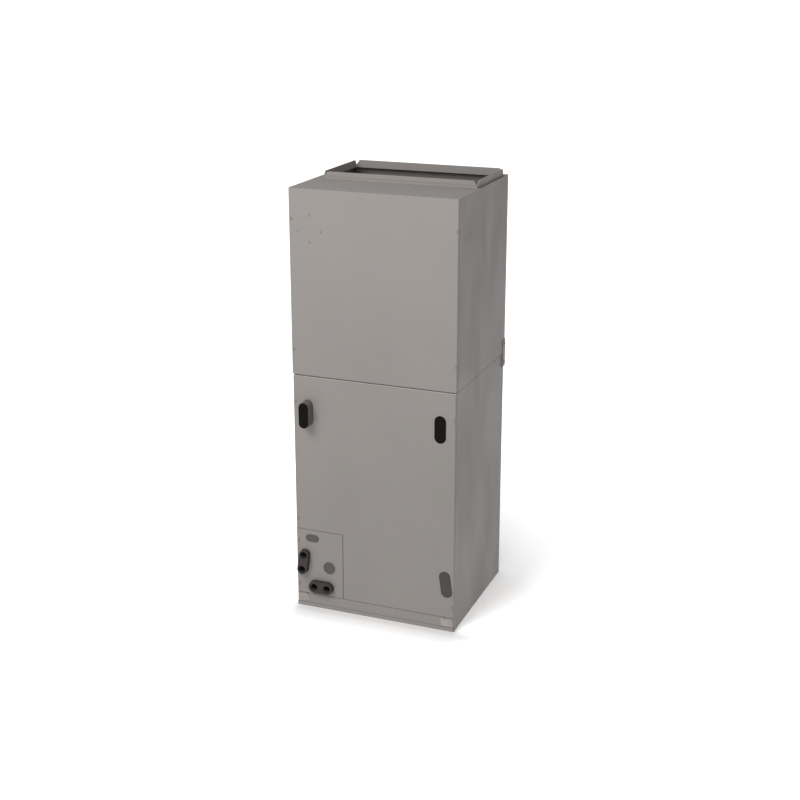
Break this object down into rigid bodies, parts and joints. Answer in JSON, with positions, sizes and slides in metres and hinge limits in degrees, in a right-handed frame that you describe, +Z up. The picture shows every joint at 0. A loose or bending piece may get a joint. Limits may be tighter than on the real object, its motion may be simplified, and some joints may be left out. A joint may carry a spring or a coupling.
{
  "type": "air handler",
  "caption": "Upright two-section air handler: fan section with a flanged supply opening on an A-coil section with drain ports, fittings panel and filter slot.",
  "frame": {"origin": "middle of the return-air opening in the base, at floor level", "axes": "+X to the right as seen from the front, +Y from the front panels to the back, +Z up through the cabinet"},
  "size_m": [0.547, 0.511, 1.3798],
  "materials": {
    "cabinet_paint": "warm grey satin paint",
    "latch_zinc": "dull zinc",
    "galvanised": "galvanised sheet",
    "steel_shaft": "ground steel",
    "foam_gasket": "closed-cell foam",
    "insulation": "faced fibre blanket",
    "drain_plastic": "dark brown moulded plastic",
    "black_rubber": "matte black",
    "brown_plug": "dark brown-grey",
    "grey_grommet": "brown-grey",
    "fins": "stacked thin fins",
    "copper": "plain copper tube",
    "valve_brass": "machined brass",
    "motor_black": "black enamel",
    "board_green": "printed circuit board",
    "transformer_steel": "varnished laminations",
    "terminal_black": "moulded",
    "capacitor_can": "drawn can",
    "filter_board": "beverage board",
    "filter_paper": "pleated paper"
  },
  "bodies": {
    "cabinet": {"fan_casing": "cabinet_paint", "coil_casing": "cabinet_paint", "top_deck": "cabinet_paint", "base_frame": "cabinet_paint", "fan_sill": "galvanised", "coil_header": "galvanised", "panel_rail": "galvanised", "section_gasket": "foam_gasket", "corner_brackets": "cabinet_paint", "cabinet_screws": "latch_zinc", "fan_insulation": "insulation", "coil_insulation": "insulation", "filter_tracks": "galvanised", "pan_rails": "galvanised", "blower_deck": "galvanised", "control_plate": "galvanised", "heater_cover": "galvanised", "control_board": "board_green", "transformer": "transformer_steel", "terminal_block": "terminal_black", "capacitor": "capacitor_can", "wiring_harness": "black_rubber", "drain_pan": "drain_plastic", "drain_pan_port": "drain_plastic", "side_drain_pan": "drain_plastic", "side_pan_ports": "drain_plastic", "side_port_cap": "black_rubber", "fin_block_left": "fins", "fin_block_right": "fins", "tube_sheets": "galvanised", "return_bends": "copper", "apex_plate": "galvanised", "delta_plates": "galvanised", "suction_header": "copper", "liquid_line": "copper", "expansion_valve": "valve_brass", "distributor": "copper", "blower_sides": "galvanised", "blower_scroll": "galvanised", "motor": "motor_black", "motor_mount": "galvanised"},
    "blower_rotor": {"blower_wheel": "galvanised", "wheel_blades": "galvanised", "motor_shaft": "steel_shaft"},
    "blower_door": {"blower_panel": "cabinet_paint", "blower_panel_pad": "insulation", "blower_panel_screws": "cabinet_paint"},
    "coil_door": {"coil_panel": "cabinet_paint", "coil_panel_pad": "insulation", "coil_panel_screws": "cabinet_paint", "port_plug_upper": "black_rubber", "port_plug_lower": "brown_plug"},
    "fittings_door": {"fittings_panel": "cabinet_paint", "fittings_screws": "cabinet_paint", "liquid_plug": "grey_grommet", "suction_plug": "grey_grommet"},
    "filter_door": {"filter_panel": "cabinet_paint", "filter_latches": "latch_zinc"},
    "filter": {"filter_frame": "filter_board", "filter_media": "filter_paper"}
  },
  "joints": [
    {"name": "blower_spin", "type": "hinge", "parent": "cabinet", "child": "blower_rotor", "pos_m": [0, 0.01, 0.99], "axis": [1, 0, 0], "continuous": true},
    {"name": "blower_panel_off", "type": "slide", "parent": "cabinet", "child": "blower_door", "axis": [0, -1, 0], "range_m": [0, 0.25]},
    {"name": "coil_panel_off", "type": "slide", "parent": "cabinet", "child": "coil_door", "axis": [0, -1, 0], "range_m": [0, 0.3]},
    {"name": "fittings_panel_off", "type": "slide", "parent": "cabinet", "child": "fittings_door", "axis": [0, -1, 0], "range_m": [0, 0.2]},
    {"name": "filter_cover_off", "type": "slide", "parent": "cabinet", "child": "filter_door", "axis": [0, -1, 0], "range_m": [0, 0.5]},
    {"name": "filter_out", "type": "slide", "parent": "cabinet", "child": "filter", "axis": [0, -1, 0], "range_m": [0, 0.4]}
  ],
  "couplings": [
    {"joint": "filter_out", "follows": "filter_cover_off", "ratio": 0.8}
  ]
}
